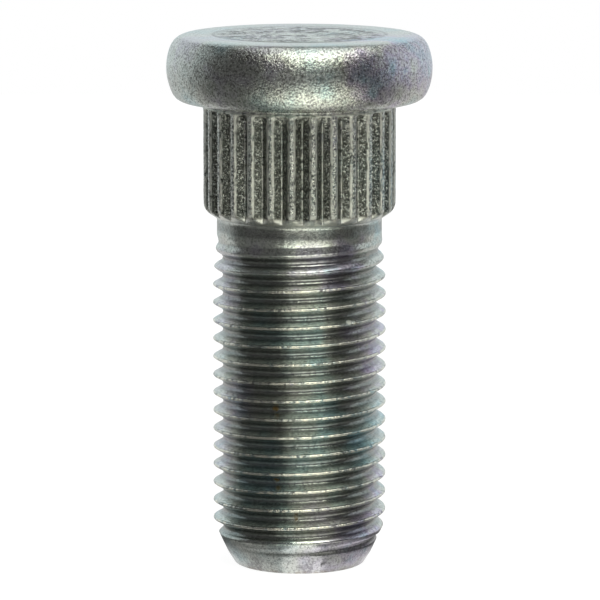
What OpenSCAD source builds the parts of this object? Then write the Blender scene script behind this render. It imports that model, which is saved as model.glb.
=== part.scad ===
// Press-in wheel stud, M12 x 1.25, forged, knurled and rolled from one piece of steel.
// It stands on the flat end of its thread: the origin is the centre of that face and
// +Z runs up the axis to the head. The sections stack from that end upwards: point,
// thread, neck, knurl, collar and head. All sizes are in millimetres.

/* [Head] */
// Largest diameter of the head, at the belly of its barrel-shaped side
head_d = 18.1; // [16.5:0.1:24]
// Height of the head from its flat underside to its top
head_h = 4.5; // [3.8:0.1:5.5]
// Depth of the belly below the top of the head
head_belly_z = 2.25; // [1.9:0.05:2.6]
// Radius of the barrel arc that bulges the side of the head
head_barrel_r = 3.9; // [3.4:0.1:8]
// Radius that rounds the shoulder between the side and the flat top
head_shoulder_r = 1.25; // [0.6:0.05:1.6]
// Radius that rounds the corner between the side and the underside
head_corner_r = 1; // [0.3:0.05:1.4]

/* [Collar] */
// Diameter of the smooth collar between the head and the knurl
collar_d = 12.9; // [12.6:0.05:13.1]
// Length of the collar, where no knurl is rolled
collar_len = 0.45; // [0.4:0.05:1.2]
// Fillet between the collar and the underside of the head
head_fillet_r = 0.25; // [0.1:0.05:0.35]

/* [Knurl] */
// Diameter over the ridges, which bite into the bore of the hub
knurl_d = 13.15; // [13.12:0.01:13.6]
// Number of ridges around the shank
knurl_ridges = 28; // [20:1:40]
// Depth of the V-shaped grooves between the ridges
knurl_depth = 0.55; // [0.3:0.05:0.7]
// Width of the flat land left on top of each ridge
knurl_land = 0.27; // [0.1:0.01:0.5]
// Length of the full ridges, from the collar to the rounded nose
ridge_len = 6.45; // [3:0.05:14]
// Radius that rounds the ridges over at their lower end
knurl_nose_r = 0.9; // [0.4:0.05:1.2]
// Angle of the cone that leads the stud into its bore, from the axis
knurl_lead_angle = 56; // [40:1:65]
// Turn of the first ridge about the axis, from the +X side
knurl_turn = -81.8; // [-90:0.1:90]

/* [Neck] */
// Diameter of the plain neck, which is the bar that the thread is rolled on
neck_d = 11.28; // [11.1:0.02:11.6]
// Length of the plain neck, from the run-out of the thread to the fillet
neck_len = 1; // [0.4:0.1:8]
// Fillet between the neck and the lead cone of the knurl
neck_fillet_r = 0.3; // [0.1:0.05:0.6]

/* [Thread] */
// Outer diameter of the thread over its crests
thread_d = 11.85; // [11.7:0.01:12]
// Advance of one turn of the right-hand thread
thread_pitch = 1.25; // [1:0.05:1.75]
// Depth of the thread from crest to root
thread_depth = 0.69; // [0.5:0.01:0.8]
// Angle between the two flanks of the thread
thread_angle = 60; // [50:1:66]
// Width of the rounded crest
thread_crest_w = 0.16; // [0.08:0.01:0.25]
// Height of the rounding on the crest and in the root
thread_round = 0.045; // [0.01:0.005:0.08]
// Distance from the flat end to the top of the run-out in the neck
thread_len = 22.8; // [12:0.1:32]
// Turns over which the root climbs out to the neck
thread_root_turns = 1.2; // [0.5:0.1:2]
// Turns over which the crest dies away at the neck
thread_crest_turns = 2.6; // [1:0.1:4]
// Height of a crest above the flat end, on the +X side
thread_phase = 1.225; // [0:0.025:1.75]
// Number of facets that the whole thread is divided into
thread_facets = 9000; // [6000:500:11000]

/* [Point] */
// Diameter of the flat end face that the stud stands on
point_d = 9; // [8:0.05:9.2]
// Length of the plain conical point below the thread
point_len = 0.75; // [0.4:0.05:1.4]
// Angle of the plain point, from the axis
point_angle = 30; // [10:1:35]
// Angle of the cone that cuts the first turns down, from the axis
thread_lead_angle = 25; // [20:1:40]

/* [Hidden] */
$fn = 96;
STEEL = "#a9aca4";

// Knurl, in section: the nose is an arc, the lead cone is tangent to it, and the fillet
// of the neck is tangent to the cone.
neck_r = neck_d / 2;
knurl_r = knurl_d / 2;
knurl_root_r = knurl_r - knurl_depth;
nose_a = -knurl_lead_angle;
nose_end_r = knurl_r - knurl_nose_r * (1 - cos(nose_a));
fillet_top_r = neck_r + neck_fillet_r * (1 - cos(nose_a));

// Heights of the joints between the sections, from the flat end upwards
neck_fillet_z = thread_len + neck_len;
lead_end_z = neck_fillet_z - neck_fillet_r * sin(nose_a);
nose_end_z = lead_end_z + (nose_end_r - fillet_top_r) / tan(knurl_lead_angle);
nose_z = nose_end_z - knurl_nose_r * sin(nose_a);
knurl_top_z = nose_z + ridge_len;
seat_z = knurl_top_z + collar_len;
stud_len = seat_z + head_h;

// How deep one section reaches into the next, so that they fuse into one solid
lap = 0.3;
// How far the faceted thread stays inside the round sections that it runs into
inset = 0.03;

// Point at angle a on a circle about the axis
function on_circle(r, a) = r * [cos(a), sin(a)];

// Points along an arc about centre, from angle a to angle b
function arc(centre, r, a, b, steps = 10) =
    [for (k = [0 : steps]) centre + on_circle(r, a + (b - a) * k / steps)];

// Head: a flat top, a rounded shoulder, a barrel side, a rounded corner and a flat
// seat. The shoulder and the corner are arcs tangent to the barrel arc.
barrel_centre = [head_d / 2 - head_barrel_r, stud_len - head_belly_z];
shoulder_a = asin((head_belly_z - head_shoulder_r) / (head_barrel_r - head_shoulder_r));
corner_a = -asin((head_h - head_belly_z - head_corner_r) / (head_barrel_r - head_corner_r));
shoulder_centre = barrel_centre
    + (head_barrel_r - head_shoulder_r) * [cos(shoulder_a), sin(shoulder_a)];
corner_centre = barrel_centre
    + (head_barrel_r - head_corner_r) * [cos(corner_a), sin(corner_a)];

module head() {
    color(STEEL)
        rotate_extrude()
            polygon(concat(
                [[0, stud_len]],
                arc(shoulder_centre, head_shoulder_r, 90, shoulder_a),
                arc(barrel_centre, head_barrel_r, shoulder_a, corner_a, 16),
                arc(corner_centre, head_corner_r, corner_a, -90),
                [[0, seat_z]]
            ));
}

// Collar: a smooth drum under the head, with a fillet up to the seat and a cone down
// into the grooves, where the knurling die runs out.
module collar() {
    r = collar_d / 2;
    run_out = r - knurl_root_r + inset;
    color(STEEL)
        rotate_extrude()
            polygon(concat(
                [[0, seat_z + lap], [r + head_fillet_r, seat_z + lap]],
                arc([r + head_fillet_r, seat_z - head_fillet_r], head_fillet_r, 90, 180, 6),
                [[r, knurl_top_z], [r - run_out, knurl_top_z - run_out],
                 [0, knurl_top_z - run_out]]
            ));
}

// Knurl: sharp V-shaped ridges inside a turned envelope, which leaves a narrow land on
// each ridge. A small chamfer ends the ridges at the collar. A rounded nose and a lead
// cone end them below, so that each groove ends in a pointed arch.
ridge_a = 360 / knurl_ridges;
land_a = knurl_land / (PI * knurl_d) * 360;
land_corner = on_circle(knurl_r, land_a / 2);
groove_bottom = on_circle(knurl_root_r, ridge_a / 2);
apex_r = groove_bottom[0]
    + (land_corner[0] - groove_bottom[0]) * groove_bottom[1] / (groove_bottom[1] - land_corner[1]);
ridge_shoulder = knurl_r - collar_d / 2 + inset;
cone_foot_z = lead_end_z - (fillet_top_r - neck_r + inset) / tan(knurl_lead_angle);

module ridge_outline() {
    polygon([for (k = [0 : knurl_ridges - 1])
        let (a = knurl_turn + k * ridge_a)
        each [on_circle(apex_r, a), on_circle(knurl_root_r, a + ridge_a / 2)]]);
}

module knurl() {
    color(STEEL)
        intersection() {
            translate([0, 0, cone_foot_z - lap])
                linear_extrude(seat_z - cone_foot_z + lap)
                    ridge_outline();
            rotate_extrude()
                polygon(concat(
                    [[0, knurl_top_z + ridge_shoulder],
                     [knurl_r - ridge_shoulder, knurl_top_z + ridge_shoulder],
                     [knurl_r, knurl_top_z]],
                    arc([knurl_r - knurl_nose_r, nose_z], knurl_nose_r, 0, nose_a, 8),
                    [[neck_r - inset, cone_foot_z], [0, cone_foot_z]]
                ));
        }
}

// Neck: the plain bar below the knurl, with a fillet up into the lead cone.
module neck() {
    color(STEEL)
        rotate_extrude()
            polygon(concat(
                [[0, thread_len], [neck_r, thread_len]],
                arc([neck_r + neck_fillet_r, neck_fillet_z], neck_fillet_r, 180, 180 + nose_a, 6),
                [[0, lead_end_z]]
            ));
}

// Thread: one closed skin whose rows follow the helix, 6 rows to a turn: 3 over the
// rounded crest and 3 in the rounded root. Rows beyond either end collapse onto the
// end ring. The lead cone cuts the first turns, and the last turns die into the neck.
crest_r = thread_d / 2;
root_r = crest_r - thread_depth;
flank_w = (thread_depth - 2 * thread_round) * tan(thread_angle / 2);
crest_half = thread_crest_w / 2;
PROFILE = [
    [-crest_half, crest_r - thread_round],
    [0, crest_r],
    [crest_half, crest_r - thread_round],
    [crest_half + flank_w, root_r + thread_round],
    [thread_pitch / 2, root_r],
    [thread_pitch - crest_half - flank_w, root_r + thread_round]
];
ROWS = len(PROFILE);
point_top_r = point_d / 2 + point_len * tan(point_angle);
skin_low = point_len - 0.1;
skin_high = thread_len + lap;
blank_r = neck_r - inset;
turns_below = ceil((thread_phase - skin_low) / thread_pitch) + 2;
turns = ceil((skin_high - skin_low) / thread_pitch) + 4;
rows = ROWS * turns;
steps = 4 * round(thread_facets / (8 * ROWS * (skin_high - skin_low) / thread_pitch));

function row_z(i, j) =
    thread_phase + thread_pitch * (floor(i / ROWS) - turns_below + j / steps) + PROFILE[i % ROWS][0];
function fade(z, length) = min(1, max(0, (thread_len - z) / (length * thread_pitch)));
function lead_r(z) = point_top_r - inset + (z - point_len) * tan(thread_lead_angle);
function rolled_r(r, z) =
    blank_r + (r - blank_r) * fade(z, r > blank_r ? thread_crest_turns : thread_root_turns);
function skin_point(j, r, z) = [each on_circle(r, 360 * j / steps), z];
function skin_r(i, z) = min(lead_r(z), rolled_r(PROFILE[i % ROWS][1], z));

// Number of the point in row i of column j. The column after the last is the first one
// again, a turn of rows further up. The two end rings come after the grid.
function end_of(i, j) = row_z(i, j) <= skin_low ? -1 : row_z(i, j) >= skin_high ? 1 : 0;
function point_no(i, j) =
    j == steps ? point_no(i + ROWS, 0)
    : end_of(i, j) == 0 ? j * rows + i
    : steps * rows + (end_of(i, j) < 0 ? 0 : steps) + j;
function triangle(a, b, c) = a == b || b == c || a == c ? [] : [[a, b, c]];

module thread() {
    low_centre = steps * (rows + 2);
    high_centre = low_centre + 1;
    points = [
        for (j = [0 : steps - 1]) for (i = [0 : rows - 1])
            skin_point(j, skin_r(i, row_z(i, j)), row_z(i, j)),
        for (j = [0 : steps - 1]) skin_point(j, lead_r(skin_low), skin_low),
        for (j = [0 : steps - 1]) skin_point(j, blank_r, skin_high),
        [0, 0, skin_low],
        [0, 0, skin_high]
    ];
    faces = [
        for (j = [0 : steps - 1]) for (i = [0 : rows - 2 - (j == steps - 1 ? ROWS : 0)])
            let (a = point_no(i, j), b = point_no(i + 1, j),
                 c = point_no(i + 1, j + 1), d = point_no(i, j + 1))
            each concat(triangle(a, b, c), triangle(a, c, d)),
        for (j = [0 : steps - 1])
            let (a = point_no(0, j), b = point_no(0, (j + 1) % steps))
            [low_centre, a, b],
        for (j = [0 : steps - 1])
            let (a = point_no(rows - 1, j), b = point_no(rows - 1, (j + 1) % steps))
            [high_centre, b, a]
    ];
    color(STEEL) polyhedron(points, faces, convexity = 8);
}

// Point: the plain cone below the first turn, with the flat end that the stud stands on.
module point() {
    color(STEEL)
        rotate_extrude()
            polygon([[0, 0], [point_d / 2, 0], [point_top_r, point_len], [0, point_len]]);
}

module wheel_stud() {
    union() {
        head();
        collar();
        knurl();
        neck();
        thread();
        point();
    }
}

wheel_stud();
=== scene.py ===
# %% [markdown]
# # A press-in wheel stud
#
# The stud is one piece of steel. Its head is forged, its knurl and thread are rolled, and
# the whole is zinc plated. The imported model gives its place, its size and its body. This
# script makes a finer skin for it and a zinc finish, and stands it in soft studio light.

# %% The frame
import math

import bmesh
import bpy
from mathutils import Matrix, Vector, noise


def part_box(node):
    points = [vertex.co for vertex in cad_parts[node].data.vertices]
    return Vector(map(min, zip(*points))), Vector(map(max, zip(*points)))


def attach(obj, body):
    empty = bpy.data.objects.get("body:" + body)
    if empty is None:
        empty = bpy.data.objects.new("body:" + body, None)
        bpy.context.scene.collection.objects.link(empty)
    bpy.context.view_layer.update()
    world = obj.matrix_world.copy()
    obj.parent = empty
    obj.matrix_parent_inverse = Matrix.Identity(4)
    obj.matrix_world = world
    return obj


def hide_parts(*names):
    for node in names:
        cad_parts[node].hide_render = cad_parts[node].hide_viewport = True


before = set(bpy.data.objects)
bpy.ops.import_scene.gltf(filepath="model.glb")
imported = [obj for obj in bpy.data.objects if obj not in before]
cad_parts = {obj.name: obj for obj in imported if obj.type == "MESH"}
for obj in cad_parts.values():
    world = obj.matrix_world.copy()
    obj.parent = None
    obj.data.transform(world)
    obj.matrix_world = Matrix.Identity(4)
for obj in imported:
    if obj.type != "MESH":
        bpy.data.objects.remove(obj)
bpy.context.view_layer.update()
low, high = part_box("wheel_stud")
print("the stud stands", round(high.z * 1000, 2), "mm tall")

# %% [markdown]
# ## Sizes
#
# A fastener is a stack of turned and rolled sections, so its sizes are diameters and
# heights. They are kept in millimetres here, as on a drawing, and the mesh is scaled to
# metres once, when it is finished.

# %% Sizes in millimetres
MM = 0.001
STUD_LEN = high.z / MM
HEAD_R = high.x / MM
HEAD_H = 4.5
BELLY_Z = STUD_LEN - 2.25
BARREL_R = 3.9
SHOULDER_R = 1.25
CORNER_R = 1.0
SEAT_Z = STUD_LEN - HEAD_H

COLLAR_R = 6.45
COLLAR_LEN = 0.45
HEAD_FILLET_R = 0.25

KNURL_R = 6.575
RIDGES = 28
RIDGE_PITCH = 360 / RIDGES
RIDGE_TURN = -81.8
KNURL_DEPTH = 0.55
LAND_W = 0.27
BURR_LEN = 0.9
NOSE_R = 0.9
LEAD_ANGLE = math.radians(56)
KNURL_TOP_Z = SEAT_Z - COLLAR_LEN
NOSE_Z = KNURL_TOP_Z - 6.45

NECK_R = 5.64
NECK_LEN = 1.0
NECK_FILLET_R = 0.3

THREAD_R = 5.925
THREAD_DEPTH = 0.69
PITCH = 1.25
CREST_ARC_R = 0.092
THREAD_LEN = 22.8
THREAD_PHASE = 1.225
ROOT_TURNS = 1.2
CREST_TURNS = 2.6

POINT_R = 4.5
POINT_LEN = 0.75
RIM_W = 0.08
RIM_H = 0.06
POINT_TOP_R = POINT_R + POINT_LEN * math.tan(math.radians(30))
THREAD_LEAD = math.tan(math.radians(25))
print("the thread has", round(THREAD_LEN / PITCH, 1), "turns")

# %% [markdown]
# ## Drawing a section
#
# Everything round starts as half of a section: a line of points, each a radius and a
# height. Straight stretches need only their ends, and round ones are arcs.


# %% Helpers for sections
COLUMNS = RIDGES * 10
STEP = 360 / COLUMNS
print("a full turn has", COLUMNS, "columns")


def arc(r, z, size, start, end, steps):
    """Points on an arc about (r, z), from the start angle to the end angle in degrees."""
    turn = (end - start) / steps
    angles = [math.radians(start + turn * k) for k in range(steps + 1)]
    return [(r + size * math.cos(a), z + size * math.sin(a)) for a in angles]


def between(first, last, steps):
    """Evenly spaced points between two points, without the two themselves."""
    return [
        tuple(a + (b - a) * k / steps for a, b in zip(first, last)) for k in range(1, steps)
    ]


# %% [markdown]
# A full spin of a long section is slow, because every step works over the whole mesh. So
# the section is spun through the width of one ridge, and that wedge is copied round.


# %% Spinning a section
def spin_round(bm, section, rise=0.0):
    """Spins a section about the axis. With a rise, it climbs by that much in the turn."""
    wedge = bmesh.new()
    verts = [wedge.verts.new((r, 0, z)) for r, z in section]
    edges = [wedge.edges.new(pair) for pair in zip(verts, verts[1:])]
    about = {"cent": (0, 0, 0), "axis": (0, 0, 1)}
    bmesh.ops.spin(
        wedge, geom=verts + edges, **about, dvec=(0, 0, rise / COLUMNS),
        angle=math.radians(RIDGE_PITCH), steps=COLUMNS // RIDGES,
    )
    bmesh.ops.spin(
        wedge, geom=wedge.verts[:] + wedge.edges[:] + wedge.faces[:], **about,
        dvec=(0, 0, rise / RIDGES), angle=math.radians(360 - RIDGE_PITCH), steps=RIDGES - 1,
        use_duplicate=True,
    )
    mesh = bpy.data.meshes.new("wedge")
    wedge.to_mesh(mesh)
    wedge.free()
    bm.from_mesh(mesh)
    bpy.data.meshes.remove(mesh)


# %% [markdown]
# ## The thread
#
# A thread could be cut from a cylinder, or made by moving points in and out along a
# helix. Here the section of the whole thread is spun about the axis, and it rises by one
# pitch in that one turn. The last column then meets the first one a tooth further up, so
# welding them gives a true helix whose rows follow the crest.

# %% One tooth of the thread
ARC_STEPS = 4
FLANK = 60
arcs_r = (PITCH - 2 * THREAD_DEPTH * math.tan(math.radians(30))) / (
    2 * (math.sin(math.radians(60)) - 0.5 * math.tan(math.radians(30)))
)
ROOT_ARC_R = arcs_r - CREST_ARC_R
print("the root is rounded to", round(ROOT_ARC_R, 3), "mm")


def tooth(z):
    """The section of one turn, whose crest is at height z: crest, flank, root, flank."""
    crest = arc(THREAD_R - CREST_ARC_R, z, CREST_ARC_R, -FLANK, FLANK, ARC_STEPS)
    root_r = THREAD_R - THREAD_DEPTH + ROOT_ARC_R
    root = arc(root_r, z + PITCH / 2, ROOT_ARC_R, 180 + FLANK, 180 - FLANK, ARC_STEPS)
    next_crest = (crest[0][0], crest[0][1] + PITCH)
    return crest + between(crest[-1], root[0], 2) + root + between(root[-1], next_crest, 2)


def faded(r, z):
    """A radius of the thread at height z: cut by the lead cone, and dying into the neck."""
    turns = (THREAD_LEN - z) / PITCH
    share = min(1, max(0, turns / (CREST_TURNS if r > NECK_R else ROOT_TURNS)))
    return min(NECK_R + (r - NECK_R) * share, POINT_TOP_R + (z - POINT_LEN) * THREAD_LEAD)


def roll_thread(bm):
    """Spins the thread with a rise, and presses what overshoots flat onto its two ends."""
    teeth = range(-2, int(THREAD_LEN / PITCH) + 3)
    section = [point for k in teeth for point in tooth(THREAD_PHASE + PITCH * k)]
    spin_round(bm, section, PITCH)
    for v in bm.verts:
        r, z = v.co.xy.length, min(max(v.co.z, POINT_LEN), THREAD_LEN)
        v.co.xy *= faded(r, z) / r
        v.co.z = z


# %% [markdown]
# ## The turned blank
#
# The point below the thread and all that is above it are plain lathe work: one section
# each, spun all the way round. The rows lie close together where the knurl begins and
# ends, because the knurl is rolled into this blank afterwards.

# %% The sections of the blank
nose_foot = (
    KNURL_R - NOSE_R * (1 - math.cos(LEAD_ANGLE)),
    NOSE_Z - NOSE_R * math.sin(LEAD_ANGLE),
)
fillet_top_r = NECK_R + NECK_FILLET_R * (1 - math.cos(LEAD_ANGLE))
LEAD_END_Z = nose_foot[1] - (nose_foot[0] - fillet_top_r) / math.tan(LEAD_ANGLE)
neck_fillet_z = LEAD_END_Z - NECK_FILLET_R * math.sin(LEAD_ANGLE)
LEAD_DEG = math.degrees(LEAD_ANGLE)
print("the lead cone starts", round(LEAD_END_Z, 2), "mm up")


def point_section():
    """The flat end face and the plain cone."""
    rim = (POINT_R - RIM_W, 0)
    return [(0, 0), *between((0, 0), rim, 6), rim, (POINT_R, RIM_H), (POINT_TOP_R, POINT_LEN)]


def shank_section():
    """Neck, fillet, lead cone, nose, ridges and collar, up to the underside of the head."""
    foot = arc(NECK_R + NECK_FILLET_R, neck_fillet_z, NECK_FILLET_R, 180, 180 - LEAD_DEG, 4)
    nose = arc(KNURL_R - NOSE_R, NOSE_Z, NOSE_R, -LEAD_DEG, 0, 12)
    shoulder_top = (COLLAR_R, KNURL_TOP_Z + KNURL_R - COLLAR_R)
    fillet_r = COLLAR_R + HEAD_FILLET_R
    return (
        [(NECK_R, THREAD_LEN), (NECK_R, (THREAD_LEN + neck_fillet_z) / 2)]
        + foot
        + between(foot[-1], nose[0], 6)
        + nose
        + between((KNURL_R, NOSE_Z), (KNURL_R, KNURL_TOP_Z - BURR_LEN), 10)
        + between((KNURL_R, KNURL_TOP_Z - BURR_LEN), (KNURL_R, KNURL_TOP_Z), 12)
        + [(KNURL_R, KNURL_TOP_Z), *between((KNURL_R, KNURL_TOP_Z), shoulder_top, 2), shoulder_top]
        + arc(fillet_r, SEAT_Z - HEAD_FILLET_R, HEAD_FILLET_R, 180, 90, 4)
    )


def head_section():
    """Underside, rounded corner, barrel side, rounded shoulder and flat top."""
    centre_r = HEAD_R - BARREL_R
    corner = -math.asin((BELLY_Z - SEAT_Z - CORNER_R) / (BARREL_R - CORNER_R))
    shoulder = math.asin((STUD_LEN - BELLY_Z - SHOULDER_R) / (BARREL_R - SHOULDER_R))
    corner_r = centre_r + (BARREL_R - CORNER_R) * math.cos(corner)
    shoulder_r = centre_r + (BARREL_R - SHOULDER_R) * math.cos(shoulder)
    low_deg, high_deg = math.degrees(corner), math.degrees(shoulder)
    side = arc(centre_r, BELLY_Z, BARREL_R, low_deg, high_deg, 12)
    return (
        arc(corner_r, SEAT_Z + CORNER_R, CORNER_R, -90, low_deg, 8)
        + side[1:-1]
        + arc(shoulder_r, STUD_LEN - SHOULDER_R, SHOULDER_R, high_deg, 90, 12)
        + between((shoulder_r, STUD_LEN), (0, STUD_LEN), 12)
        + [(0, STUD_LEN)]
    )


def turn_blank(bm):
    """Spins the two sections of the blank about the axis."""
    spin_round(bm, point_section())
    spin_round(bm, shank_section() + head_section())


# %% [markdown]
# ## The knurl
#
# A knurling die presses straight V-shaped grooves into the blank. The mesh has ten columns
# to a ridge, so each column is moved to its place across the ridge and pushed in as deep
# as the groove is there. The blank keeps what lies deeper, which leaves the pointed arches
# on the lead cone.

# %% Rolling the knurl
FIRST_COLUMN = math.floor(RIDGE_TURN / STEP)
half_w = math.pi * KNURL_R / RIDGES
flank_slope = KNURL_DEPTH / (half_w - LAND_W / 2)
edge = LAND_W / 2
ACROSS = (0, edge - 0.02, edge + 0.02, (edge + half_w) / 2, half_w - 0.045, half_w)
print("a ridge is", round(2 * half_w, 2), "mm wide, and its land", LAND_W, "mm")


def groove_depth(across):
    """How deep the groove is at a distance from the middle of the ridge."""
    return min(max(0, across - edge) * flank_slope, KNURL_DEPTH - 0.012)


def roll_knurl(bm):
    """Moves the columns between the lead cone and the collar into 28 ridges."""
    for v in bm.verts:
        if not LEAD_END_Z + 0.01 < v.co.z < KNURL_TOP_Z + 0.01:
            continue
        column = round(math.degrees(math.atan2(v.co.y, v.co.x)) / STEP) - FIRST_COLUMN
        ridge, place = divmod(column + 5, 10)
        side = place - 5
        across = math.copysign(ACROSS[abs(side)], side)
        angle = math.radians(RIDGE_TURN + ridge * RIDGE_PITCH) + across / KNURL_R
        run_out = COLLAR_R - max(0, KNURL_TOP_Z - v.co.z)
        r = min(v.co.xy.length, max(KNURL_R - groove_depth(abs(across)), run_out))
        v.co.xy = r * math.cos(angle), r * math.sin(angle)


# %% [markdown]
# ## Marks of making and use
#
# Nothing forged is perfectly round. Smooth noise moves the skin in and out by a few
# hundredths of a millimetre, most on the head and where the die pushed up burrs at the
# top of the ridges. One crest has a nick.

# %% Wear
NICK = Vector((3.47, -4.8, 17.56))
NICK_R = 0.75
NICK_DEPTH = 0.16
HEAD_SWELL = 0.035
SKIN_MOVE = 0.012
BURR_H = 0.05


def wear(bm):
    """Small radial moves of the skin."""
    for v in bm.verts:
        r = v.co.xy.length
        if r < 0.01:
            continue
        push = 0.0
        if v.co.z > SEAT_Z + 0.3:
            push += HEAD_SWELL * noise.noise(v.co * 0.35) + SKIN_MOVE * noise.noise(v.co * 1.4)
            push *= min(1, (STUD_LEN - v.co.z + 0.15) / 0.5)
        elif v.co.z > LEAD_END_Z:
            burr = max(0, 1 - (KNURL_TOP_Z - v.co.z) / BURR_LEN) if v.co.z < KNURL_TOP_Z else 0.4
            push += (SKIN_MOVE + BURR_H * burr) * noise.noise(v.co * 3.1)
        elif v.co.z > POINT_LEN:
            push += SKIN_MOVE * noise.noise(v.co * 2.3)
            dent = 1 - (v.co - NICK).length / NICK_R
            if dent > 0 and r > THREAD_R - 0.25:
                push -= NICK_DEPTH * dent
        v.co.xy *= (r + push) / r


# %% Making the stud
def make_stud():
    """Rolls, turns, knurls and wears the mesh, and gives it an object."""
    bm = bmesh.new()
    roll_thread(bm)
    turn_blank(bm)
    bmesh.ops.remove_doubles(bm, verts=bm.verts, dist=0.001)
    roll_knurl(bm)
    wear(bm)
    bmesh.ops.scale(bm, vec=(MM, MM, MM), verts=bm.verts)
    bmesh.ops.recalc_face_normals(bm, faces=bm.faces)
    open_edges = sum(not e.is_manifold for e in bm.edges)
    triangles = sum(len(f.verts) - 2 for f in bm.faces)
    print("the stud has", triangles, "triangles and", open_edges, "open edges")
    mesh = bpy.data.meshes.new("plated_stud")
    for face in bm.faces:
        face.smooth = True
    bm.to_mesh(mesh)
    bm.free()
    piece = bpy.data.objects.new("plated_stud", mesh)
    bpy.context.scene.collection.objects.link(piece)
    return piece


stud = make_stud()

# %% [markdown]
# ## Shader maths
#
# Patterns are sums and products of textures. A small class wraps a socket, so that an
# expression such as 1 - mask writes its own Math nodes.


# %% A socket that can be added and multiplied
class Wire:
    """A socket of a node tree, with Python's operators."""

    def __init__(self, tree, socket):
        self.tree = tree
        self.socket = socket

    def node(self, kind, settings=None, out=0, **inputs):
        """Adds a node and returns one output. A socket goes by name, or by number as i0."""
        made = self.tree.nodes.new(kind)
        for name, value in (settings or {}).items():
            setattr(made, name, value)
        for name, value in inputs.items():
            key = int(name[1:]) if name[1:].isdigit() else name.replace("_", " ")
            socket = made.inputs[key]
            if isinstance(value, Wire):
                self.tree.links.new(value.socket, socket)
            else:
                socket.default_value = value
        return Wire(self.tree, made.outputs[out])

    def math(self, operation, other=0.0, swap=False):
        a, b = (other, self) if swap else (self, other)
        return self.node("ShaderNodeMath", {"operation": operation}, i0=a, i1=b)

    def __add__(self, other):
        return self.math("ADD", other)

    def __radd__(self, other):
        return self.math("ADD", other)

    def __sub__(self, other):
        return self.math("SUBTRACT", other)

    def __rsub__(self, other):
        return self.math("SUBTRACT", other, swap=True)

    def __mul__(self, other):
        return self.math("MULTIPLY", other)

    def __rmul__(self, other):
        return self.math("MULTIPLY", other)

    def step(self, start, end):
        """A smooth rise from 0 at start to 1 at end. It falls where start is above end."""
        settings = {"interpolation_type": "SMOOTHSTEP"}
        return self.node("ShaderNodeMapRange", settings, i0=self, i1=start, i2=end)

    def stretch(self, x, y, z):
        """A vector scaled by its own factor along each axis."""
        return self.node("ShaderNodeVectorMath", {"operation": "MULTIPLY"}, i0=self, i1=(x, y, z))

    def distance(self, place):
        """The distance from a vector to a place."""
        return self.node("ShaderNodeVectorMath", {"operation": "DISTANCE"}, 1, i0=self, i1=place)

    def noise(self, scale, detail=2.0, roughness=0.5):
        """Smooth noise at a vector, from 0 to 1 and mostly near a half."""
        return self.node(
            "ShaderNodeTexNoise", Vector=self, Scale=scale, Detail=detail, Roughness=roughness
        )

    def ramp(self, stops):
        """A colour for each value, from a list of places and colours."""
        made = self.node("ShaderNodeValToRGB", Fac=self)
        band = made.socket.node.color_ramp
        while len(band.elements) < len(stops):
            band.elements.new(0.5)
        for element, (place, colour) in zip(band.elements, stops):
            element.position = place
            element.color = (*colour, 1)
        return made

    def tint(self, first, second):
        """Mixes two colours by this factor."""
        settings = {"data_type": "RGBA"}
        first, second = ((*c, 1) if isinstance(c, tuple) else c for c in (first, second))
        return self.node("ShaderNodeMix", settings, 2, i0=self, i6=first, i7=second)


# %% [markdown]
# ## Zinc plate
#
# The finish is bright zinc with a thin passivate film. The film is too thin to see as a
# coat, but it tints the metal. It could be painted on an image. A pattern that is worked
# out from the place on the stud stays sharp from near by and follows the sizes above, so
# one material does it all.

# %% An empty material
zinc = bpy.data.materials.new("zinc_plate")
zinc.use_nodes = True
tree = zinc.node_tree
shader = tree.nodes["Principled BSDF"]
place = tree.nodes.new("ShaderNodeTexCoord").outputs["Object"]
mm = Wire(tree, place).stretch(1 / MM, 1 / MM, 1 / MM)
height = mm.node("ShaderNodeSeparateXYZ", None, 2, Vector=mm)
radius = mm.stretch(1, 1, 0).distance((0, 0, 0))
print("the material starts with", len(tree.nodes), "nodes")

# %% [markdown]
# ## Masks
#
# The head, the knurl, the neck, the thread and the point each wear their plate in their
# own way. A mask is 1 on its place and 0 elsewhere. Each one comes from the height and the
# radius alone, so it fits every side of the stud.

# %% Masks of the head, the neck, the thread and the point
TOP_RING = (4.8, 6.2)

forged = height.step(LEAD_END_Z + 0.3, LEAD_END_Z + 0.7)
on_head = height.step(SEAT_Z - 0.4, SEAT_Z)
on_top = height.step(STUD_LEN - 0.25, STUD_LEN - 0.05)
ring = on_top * radius.step(*TOP_RING)
on_dish = on_top - ring
# the neck mask carries painted shade below the knurl
neck_shade = height.step(LEAD_END_Z - NECK_LEN, LEAD_END_Z - NECK_LEN + 0.2)
neck_shade = neck_shade - height.step(LEAD_END_Z - 0.3, LEAD_END_Z - 0.1)
on_crest = (1 - forged) * radius.step(THREAD_R - 0.13, THREAD_R - 0.05)
in_root = (1 - forged) * radius.step(THREAD_R - 0.3, THREAD_R - 0.55)
on_point = height.step(POINT_LEN + 0.6, POINT_LEN)

# %% Masks of the knurl
bottom_r = KNURL_R - KNURL_DEPTH
on_knurl = height.step(LEAD_END_Z + 0.3, LEAD_END_Z + 0.6) - on_head
in_groove = on_knurl * radius.step(KNURL_R - 0.02, KNURL_R - 0.12)
in_groove = in_groove * radius.step(bottom_r, bottom_r + 0.08)
on_land = on_knurl * radius.step(KNURL_R - 0.04, KNURL_R)
on_edge = on_knurl * radius.step(KNURL_R - 0.16, KNURL_R - 0.08) - on_land
in_bottom = on_knurl * radius.step(bottom_r + 0.07, bottom_r)
on_lead = height.step(LEAD_END_Z - 0.1, LEAD_END_Z) - height.step(NOSE_Z - 0.5, NOSE_Z)
print("with its masks it has", len(tree.nodes), "nodes")

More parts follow.
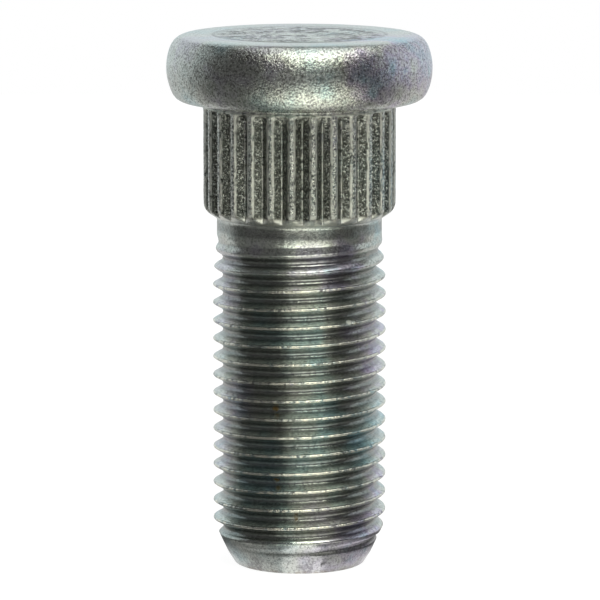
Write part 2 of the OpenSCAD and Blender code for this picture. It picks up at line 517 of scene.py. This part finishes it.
# %% [markdown]
# ## Grain
#
# Steel that was forged and not machined keeps a fine grain under its plate, and rolling
# leaves fine scratches. Each is a noise with its own scale. The grain serves the colour
# and the relief, so what is dark also lies lower.

# %% Noise at each scale
grain = mm.noise(7.0, 3.0, 0.7)
dark_grain = grain.step(0.5, 0.38)
light_grain = grain.step(0.52, 0.64)
lumps = mm.noise(1.0, 4.0, 0.65)
spark = mm.noise(6.5, 2.0, 0.6)
pits = mm.noise(3.2, 2.0).step(0.58, 0.7)
scratches = mm.stretch(1, 1, 9).noise(2.5, 4.0, 0.7)
broken = mm.stretch(1, 1, 0.5).noise(3.0, 3.0, 0.7)

# %% [markdown]
# ## The film
#
# The film goes from blue through mint, straw and lilac in soft patches as its thickness
# changes. Two slow noises stand for the thickness, and a ramp gives each thickness its
# colour. The film is thinner on the left side, so more of the plain zinc is mixed in there.

# %% Colours of the film
FILM = [
    (0.30, (0.40, 0.62, 0.82)),
    (0.40, (0.52, 0.72, 0.74)),
    (0.47, (0.66, 0.72, 0.68)),
    (0.53, (0.74, 0.74, 0.68)),
    (0.60, (0.70, 0.62, 0.76)),
    (0.70, (0.46, 0.68, 0.78)),
]
PLAIN_ZINC = (0.66, 0.70, 0.65)

film = (mm.noise(0.16, 3.0) * 0.8 + mm.noise(0.9, 2.0) * 0.2).ramp(FILM)
across = mm.node("ShaderNodeSeparateXYZ", None, 0, Vector=mm)
vivid = across.step(0.5, 4.5) * 0.45 + 0.55
colour = vivid.tint(PLAIN_ZINC, film)
print("the film has", len(FILM), "colours")

# %% [markdown]
# ## Dark places and painted shade
#
# The plate is thin in pits, and dirt stays there. The head is darkest on the uneven middle
# of its top. The grooves of the knurl, the roots of the thread, the neck and patches on the
# point get painted shade. Each stain and each painted shade is mixed over the colour so far.

# %% Stains of the head and the point, and painted shade on the point
GRAIN_DARK = (0.10, 0.10, 0.085)
DISH_BLACK = (0.02, 0.02, 0.02)
LINE_GREY = (0.12, 0.12, 0.11)
POINT_SHADE = (0.14, 0.13, 0.15)
LIP_BROWN = (0.34, 0.27, 0.18)

dark = forged * (1 - ring) * (pits * 0.3 + dark_grain * 0.7)
colour = dark.tint(colour, GRAIN_DARK)
colour = (on_dish * lumps.step(0.5, 0.46) * 0.9).tint(colour, DISH_BLACK)
line = on_top * radius.step(5.6, 5.8) * radius.step(6.1, 5.9)
colour = (line * lumps.step(0.4, 0.5) * 0.6).tint(colour, LINE_GREY)
# painted shade in soft patches on the point
patches = on_point * mm.noise(0.8, 3.0).step(0.52, 0.6)
colour = (patches * 0.45).tint(colour, POINT_SHADE)
lip = height.step(0.35, 0.0) * mm.noise(2.5, 3.0).step(0.4, 0.6)
colour = (lip * 0.7).tint(colour, LIP_BROWN)

# %% Painted shade in the grooves, the roots and the neck, and dull grain
GROOVE_SHADE = (0.10, 0.105, 0.085)
DARK_SPECK = (0.03, 0.03, 0.03)
GRAIN_AND_SHADE_GREY = (0.12, 0.12, 0.12)
LIGHT_ZINC = (0.92, 0.95, 0.90)
ROOT_SHADE = (0.07, 0.07, 0.07)

# painted shade on the flanks of the knurl's grooves
colour = (in_groove * 0.85).tint(colour, GROOVE_SHADE)
# near-black speckles over the knurl
colour = (on_knurl * spark.step(0.5, 0.4) * 0.85).tint(colour, DARK_SPECK)
# dark grain on the thread, in the same grey as the painted shade of the neck
colour = ((1 - forged) * (dark_grain * 0.55)).tint(colour, GRAIN_AND_SHADE_GREY)
light = forged * light_grain * 0.75 + on_dish * lumps.step(0.52, 0.6) * 0.7
light = light + (1 - forged) * grain.step(0.54, 0.64) * 0.5
colour = light.tint(colour, LIGHT_ZINC)
# painted shade in the roots of the thread
colour = (in_root * 0.5).tint(colour, ROOT_SHADE)
# painted shade on the neck below the knurl
colour = (neck_shade * 0.4).tint(colour, GRAIN_AND_SHADE_GREY)
print("with its stains it has", len(tree.nodes), "nodes")

# %% [markdown]
# ## Painted highlights and bright places
#
# The edges and groove bottoms of the ridges, the burrs and the crests of the thread get
# painted highlights, and the knurl gets painted glints. The lines are broken by noise, and
# the crest highlights by painted dark dashes. A nick and a scuff are real bright wear. A few
# rust specks sit in the roots.

# %% Painted highlights on edges and crests, wear marks and rust
BRIGHT_MARKS = ((*NICK, 0.4), (2.9, -5.2, 22.55, 0.3))
RUST_SPECKS = ((-1.6, -5.0, 11.6, 0.28), (-1.6, -5.2, 6.63, 0.28), (-0.26, -5.4, 4.04, 0.24))
HIGHLIGHT_AND_WEAR_BRIGHT = (0.98, 0.98, 0.90)
CREST_DASH_SHADE = (0.08, 0.08, 0.08)
CREST_HIGHLIGHT = (1.0, 0.97, 0.85)
LEAD_SHEEN = (0.85, 0.88, 0.86)
RUST = (0.26, 0.18, 0.08)

burr = on_knurl * height.step(KNURL_TOP_Z - 1.4, KNURL_TOP_Z - 0.3)
# painted highlights on the edges and groove bottoms of the ridges and on the burrs, and painted
# glints over the knurl
bright = on_edge * broken.step(0.36, 0.5) + in_bottom * broken.step(0.46, 0.54)
bright = bright + on_land * spark.step(0.46, 0.6) * 0.8
bright = bright + on_knurl * spark.step(0.6, 0.66) * 0.8
bright = bright + burr * broken.step(0.5, 0.6) * 0.7
# the nick and the scuff are real wear, bright in the same colour
marks = 0.0
for x, y, z, size in BRIGHT_MARKS:
    marks = mm.distance((x, y, z)).step(size, size * 0.6) * broken.step(0.35, 0.5) + marks
colour = (bright + marks).tint(colour, HIGHLIGHT_AND_WEAR_BRIGHT)
# painted highlight along the crests of the thread, broken by painted dark dashes
crest_shade_dashes = on_crest * mm.noise(2.6, 3.0, 0.7).step(0.5, 0.42)
colour = (crest_shade_dashes * 0.6).tint(colour, CREST_DASH_SHADE)
crest_highlight = on_crest * mm.noise(1.5, 4.0, 0.7).step(0.42, 0.54)
colour = (crest_highlight * 0.95).tint(colour, CREST_HIGHLIGHT)
# painted sheen: the lead cone is paler
colour = (on_lead * (1 - in_groove) * 0.5).tint(colour, LEAD_SHEEN)
rust = 0.0
for x, y, z, size in RUST_SPECKS:
    rust = (mm.distance((x, y, z)) + grain * 0.3).step(size + 0.2, size) + rust
colour = rust.tint(colour, RUST)
print("there are", len(BRIGHT_MARKS), "bright marks and", len(RUST_SPECKS), "rust specks")

# %% [markdown]
# ## Relief and polish
#
# What is finer than the mesh is left to a Bump node, whose height is in millimetres here.
# The plate is about as smooth everywhere, and rougher at the marks, the rust and the edges
# and groove bottoms of the ridges.

# %% Relief, roughness and the finished material
relief = grain * (forged * 0.03 + on_knurl * 0.05 - ring * 0.02 + 0.008)
relief = relief + mm.noise(1.6, 2.0) * (forged * 0.03)
relief = relief + (scratches * 0.006 + mm.noise(1.3, 3.0) * 0.015) * (1 - forged)
relief = relief + lumps * on_dish * 0.7
relief = relief + mm.noise(4.0, 3.0, 0.7) * on_crest * 0.06
bump = mm.node("ShaderNodeBump", None, Strength=1.0, Distance=MM, Height=relief)
rough = 0.22 - forged * 0.06 - on_point * 0.06 + marks * 0.3 + on_lead * 0.1 + rust * 0.3
rough = rough + (on_edge + in_bottom) * 0.2

for name, wire in (("Base Color", colour), ("Normal", bump), ("Roughness", rough)):
    tree.links.new(wire.socket, shader.inputs[name])
shader.inputs["Metallic"].default_value = 1.0
stud.data.materials.append(zinc)
print("zinc plate has", len(tree.nodes), "nodes")

# %% [markdown]
# ## The studio
#
# Bare metal shows what stands around it, so the lamps draw the picture. Soft walls at the
# back and on both sides give the pale edges. A weak fill in front, a panel high in front
# and a soft box overhead give the bright middle and the top. What is dark between them
# gives the black bands.

# %% Lamps
COOL = (0.88, 0.97, 1.0)
PLAIN = (0.97, 1.0, 0.98)
WARM = (0.98, 1.0, 0.88)


def soft_light(name, place, size, brightness, colour, facing):
    """A rectangular lamp that shines along facing. At a brightness of 1 it looks white."""
    lamp = bpy.data.lights.new(name, "AREA")
    lamp.shape = "RECTANGLE"
    lamp.size, lamp.size_y = size
    lamp.color = colour
    lamp.energy = brightness * math.pi * lamp.size * lamp.size_y
    thing = bpy.data.objects.new(name, lamp)
    thing.location = place
    thing.rotation_euler = Vector(facing).to_track_quat("-Z", "Y").to_euler()
    thing.visible_camera = False
    bpy.context.scene.collection.objects.link(thing)


soft_light("left_wall", (-0.33, 0.185, 0.12), (0.25, 0.42), 0.5, COOL, (1, 0, 0))
soft_light("right_wall", (0.33, 0.14, 0.12), (0.34, 0.42), 0.55, COOL, (-1, 0, 0))
soft_light("back_wall", (0, 0.31, 0.12), (0.66, 0.42), 0.7, COOL, (0, -1, 0))
soft_light("overhead", (0.07, 0.02, 0.36), (0.3, 0.3), 1.3, PLAIN, (0, 0, -1))
soft_light("front_fill", (0.08, -0.3, 0.01), (0.36, 0.32), 0.18, PLAIN, (0, 1, 0))
soft_light("front_panel", (0.06, -0.19, 0.27), (0.2, 0.15), 4.0, WARM, (-0.25, 1, -1.3))

# %% [markdown]
# The flanks of the thread look down at the floor in front. Two warm lamps lie on it and
# shine up, as a lit sheet would, and they are hidden from the camera.

# %% Two cards of light on the floor
CARD_Z = 0.0006

soft_light("near_card", (0.006, -0.018, CARD_Z), (0.02, 0.022), 0.6, WARM, (0, 0, 1))
soft_light("far_card", (0.013, -0.05, CARD_Z), (0.054, 0.042), 1.6, WARM, (0, 0, 1))
print("the studio has", len(bpy.data.lights), "lamps")

# %% [markdown]
# ## The floor
#
# The floor is dull card. Through Light Path the camera sees it white, and the metal sees
# painted pools of light on it in three soft patches: round the foot, on a spot in front of it
# and far behind. The rest stays dim to the metal, which keeps the dark bands of the thread.

# %% The pale card
FOOT_R = 0.0075
SPOT = (0.0003, -0.0056, 0)
SPOT_R = 0.0022
BACK_POOL = (0, 0.2, 0)
BACK_POOL_R = 0.2
PAPER = (0.2, 0.2, 0.2, 1)


def pale_card():
    """A dull card that is white to the camera and has painted pools of light for the metal."""
    material = bpy.data.materials.new("pale_card")
    material.use_nodes = True
    tree = material.node_tree
    tree.nodes.clear()
    path = tree.nodes.new("ShaderNodeLightPath").outputs
    seen = Wire(tree, path["Is Camera Ray"])
    place = Wire(tree, tree.nodes.new("ShaderNodeTexCoord").outputs["Object"])
    foot = place.distance((0, 0, 0)).step(FOOT_R, FOOT_R * 0.6)
    behind = place.distance(BACK_POOL).step(BACK_POOL_R, BACK_POOL_R * 0.93)
    spot = place.distance(SPOT).step(SPOT_R, SPOT_R * 0.7)
    # painted pools of light, seen only in the metal
    pale = foot * 0.9 + behind * 0.5 + spot * 0.8
    glow = seen * 0.95 + Wire(tree, path["Is Glossy Ray"]) * pale
    paper = seen.node("ShaderNodeBsdfDiffuse", Color=PAPER)
    light = seen.node("ShaderNodeEmission", Color=glow, Strength=1.0)
    both = seen.node("ShaderNodeAddShader", i0=paper, i1=light)
    out = tree.nodes.new("ShaderNodeOutputMaterial")
    tree.links.new(both.socket, out.inputs["Surface"])
    return material


# %% The floor's shape
FLOOR_FRONT = 0.075
FLOOR_HALF = 0.183


def make_floor():
    """A square of pale card that the stud stands on."""
    bm = bmesh.new()
    bmesh.ops.create_grid(bm, x_segments=1, y_segments=1, size=FLOOR_HALF)
    bmesh.ops.translate(bm, vec=(0, FLOOR_HALF - FLOOR_FRONT, 0), verts=bm.verts)
    mesh = bpy.data.meshes.new("floor")
    bm.to_mesh(mesh)
    bm.free()
    mesh.materials.append(pale_card())
    floor = bpy.data.objects.new("floor", mesh)
    bpy.context.scene.collection.objects.link(floor)
    return floor


floor = make_floor()
print("the floor is", round(2 * FLOOR_HALF, 3), "m wide")

# %% [markdown]
# ## The room and the camera
#
# Past the floor the camera sees white and the metal sees a dim room. A long lens from a
# third of a metre draws the stud with little perspective, as a product photograph does.

# %% World and camera
ROOM_DIM = 0.08
LENS = 255.3
CAMERA_PLACE = (0, -0.288, 0.0642)
STUD_MIDDLE = Vector((0.00004, 0, 0.0182))


def make_world():
    """White where the camera looks past the floor, and dim where only the metal looks."""
    world = bpy.data.worlds.new("studio")
    world.use_nodes = True
    tree = world.node_tree
    seen = Wire(tree, tree.nodes.new("ShaderNodeLightPath").outputs["Is Camera Ray"])
    strength = seen * (1 - ROOM_DIM) + ROOM_DIM
    tree.links.new(strength.socket, tree.nodes["Background"].inputs["Strength"])
    tree.nodes["Background"].inputs["Color"].default_value = (1, 1, 1, 1)
    bpy.context.scene.world = world


def make_camera():
    """A long lens, aimed a little down at the middle of the stud."""
    camera = bpy.data.cameras.new("camera")
    camera.lens = LENS
    camera.sensor_width = 36
    thing = bpy.data.objects.new("camera", camera)
    thing.location = CAMERA_PLACE
    thing.rotation_euler = (STUD_MIDDLE - thing.location).to_track_quat("-Z", "Y").to_euler()
    bpy.context.scene.collection.objects.link(thing)
    bpy.context.scene.camera = thing


make_world()
make_camera()
bpy.context.scene.view_settings.view_transform = "Standard"
print("the camera has a lens of", LENS, "mm")

# %% [markdown]
# ## Handing over
#
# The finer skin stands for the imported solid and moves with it.

# %% Ties to the frame
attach(stud, "root")
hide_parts("wheel_stud")
